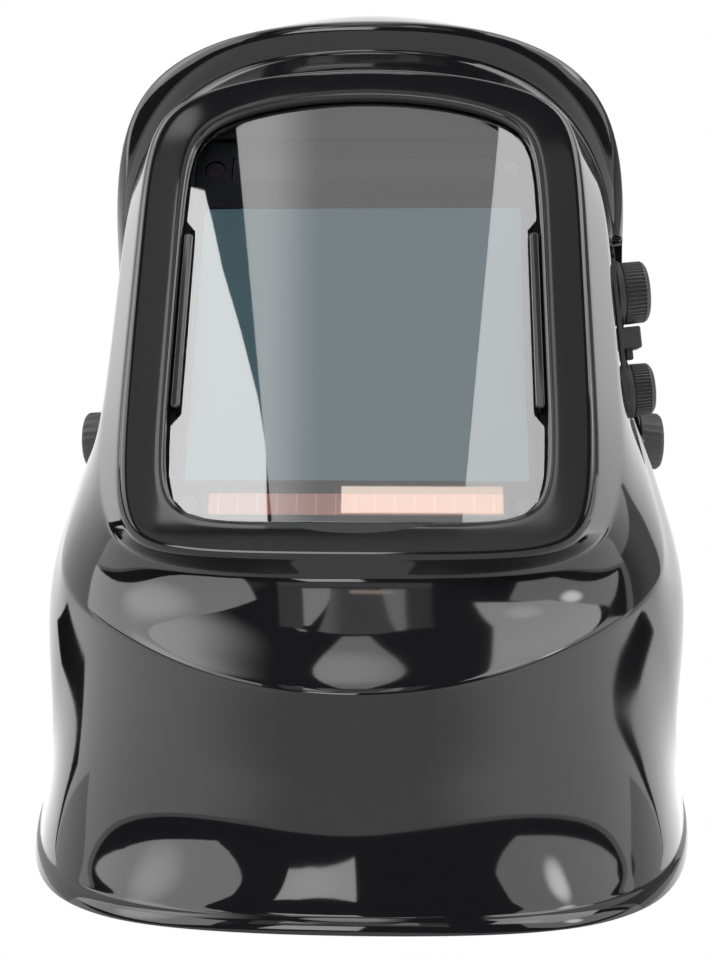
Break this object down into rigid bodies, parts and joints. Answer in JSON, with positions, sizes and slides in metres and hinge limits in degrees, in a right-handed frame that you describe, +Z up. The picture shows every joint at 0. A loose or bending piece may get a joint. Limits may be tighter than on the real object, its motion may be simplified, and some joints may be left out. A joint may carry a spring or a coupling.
{
  "type": "welding helmet",
  "caption": "Hard black welding helmet with a large framed auto-darkening window, side control knobs and a hinged ratchet headband.",
  "frame": {"origin": "centre of the bounding box at its base, on the floor the helmet stands on", "axes": "+Z up, window faces -Y, control knobs on the +X side"},
  "size_m": [0.2328, 0.3156, 0.3035],
  "materials": {
    "shell_plastic": "high gloss black",
    "clear_polycarbonate": "clear",
    "filter_glass": "dark teal coated glass",
    "solar_cells": "copper pink cells",
    "sensor_window": "dark window",
    "pad_cloth": "soft black cloth",
    "bright_steel": "plated",
    "washer_fibre": "matt grey",
    "headgear_plastic": "satin black",
    "knob_plastic": "matt black",
    "matte_plastic": "satin black"
  },
  "bodies": {
    "shell": {"helmet_shell": "shell_plastic", "front_cover_lens": "clear_polycarbonate", "lens_rail_left": "matte_plastic", "lens_rail_right": "matte_plastic", "cartridge_holder": "matte_plastic", "filter_cartridge": "matte_plastic", "lcd_filter": "filter_glass", "solar_panel": "solar_cells", "sensor_strip": "sensor_window", "arc_sensor_upper_right": "sensor_window", "arc_sensor_upper_left": "sensor_window", "arc_sensor_lower_right": "sensor_window", "arc_sensor_lower_left": "sensor_window", "inner_cover_lens": "clear_polycarbonate", "battery_cell": "bright_steel", "control_plate": "matte_plastic", "control_box": "matte_plastic", "mode_switch_base": "knob_plastic", "friction_washer_left": "washer_fibre", "friction_washer_right": "washer_fibre"},
    "headgear": {"headband": "headgear_plastic", "brow_pad": "pad_cloth", "crown_strap_front": "headgear_plastic", "crown_strap_rear": "headgear_plastic", "strap_stud_front_left": "bright_steel", "strap_stud_front_right": "bright_steel", "strap_stud_rear_left": "bright_steel", "strap_stud_rear_right": "bright_steel", "side_arm_left": "headgear_plastic", "side_arm_right": "headgear_plastic", "pivot_bolt_left": "bright_steel", "pivot_bolt_right": "bright_steel", "ratchet_housing": "headgear_plastic", "nape_pad": "pad_cloth"},
    "tension_left": {"tension_knob_left": "knob_plastic"},
    "tension_right": {"tension_knob_right": "knob_plastic"},
    "shade": {"shade_knob": "knob_plastic"},
    "sensitivity": {"sensitivity_knob": "knob_plastic"},
    "mode": {"mode_lever": "knob_plastic"},
    "cell_cap": {"battery_cap": "matte_plastic"},
    "latch": {"cartridge_latch": "matte_plastic"},
    "dial": {"ratchet_knob": "headgear_plastic", "ratchet_pinion": "headgear_plastic"},
    "tail_left": {"band_tail_left": "headgear_plastic"},
    "tail_right": {"band_tail_right": "headgear_plastic"}
  },
  "joints": [
    {"name": "flip", "type": "hinge", "parent": "shell", "child": "headgear", "pos_m": [0, 0.04386, 0.1351], "axis": [1, 0, 0], "range_deg": [0, 65]},
    {"name": "tension_turn_left", "type": "hinge", "parent": "headgear", "child": "tension_left", "pos_m": [-0.1068, 0.04386, 0.1351], "axis": [-1, 0, 0], "range_deg": [-150, 150]},
    {"name": "tension_turn_right", "type": "hinge", "parent": "headgear", "child": "tension_right", "pos_m": [0.1068, 0.04386, 0.1351], "axis": [1, 0, 0], "range_deg": [-150, 150]},
    {"name": "shade_turn", "type": "hinge", "parent": "shell", "child": "shade", "pos_m": [0.08873, -0.00514, 0.18741], "axis": [0.9945, 0, 0.1045], "range_deg": [-135, 135]},
    {"name": "sensitivity_turn", "type": "hinge", "parent": "shell", "child": "sensitivity", "pos_m": [0.09247, -0.00514, 0.1519], "axis": [0.9945, 0, 0.1045], "range_deg": [-135, 135]},
    {"name": "mode_tilt", "type": "hinge", "parent": "shell", "child": "mode", "pos_m": [0.09588, -0.00514, 0.16915], "axis": [0, 1, 0], "range_deg": [-12, 12]},
    {"name": "cap_turn", "type": "hinge", "parent": "shell", "child": "cell_cap", "pos_m": [-0.03, -0.0572, 0.21522], "axis": [0, 0.9135, -0.4067], "range_deg": [0, 90]},
    {"name": "latch_slide", "type": "slide", "parent": "shell", "child": "latch", "axis": [0, -0.4067, -0.9135], "range_m": [0, 0.004]},
    {"name": "dial_turn", "type": "hinge", "parent": "headgear", "child": "dial", "pos_m": [0, 0.13904, 0.14178], "axis": [0, 0.9306, -0.3661], "range_deg": [-45, 50]},
    {"name": "tail_slide_left", "type": "slide", "parent": "headgear", "child": "tail_left", "axis": [-1, 0, 0], "range_m": [-0.0048, 0.0053]},
    {"name": "tail_slide_right", "type": "slide", "parent": "headgear", "child": "tail_right", "axis": [1, 0, 0], "range_m": [-0.0048, 0.0053]}
  ],
  "couplings": [
    {"joint": "tail_slide_left", "follows": "dial_turn", "m_per_rad": 0.006},
    {"joint": "tail_slide_right", "follows": "dial_turn", "m_per_rad": 0.006}
  ]
}
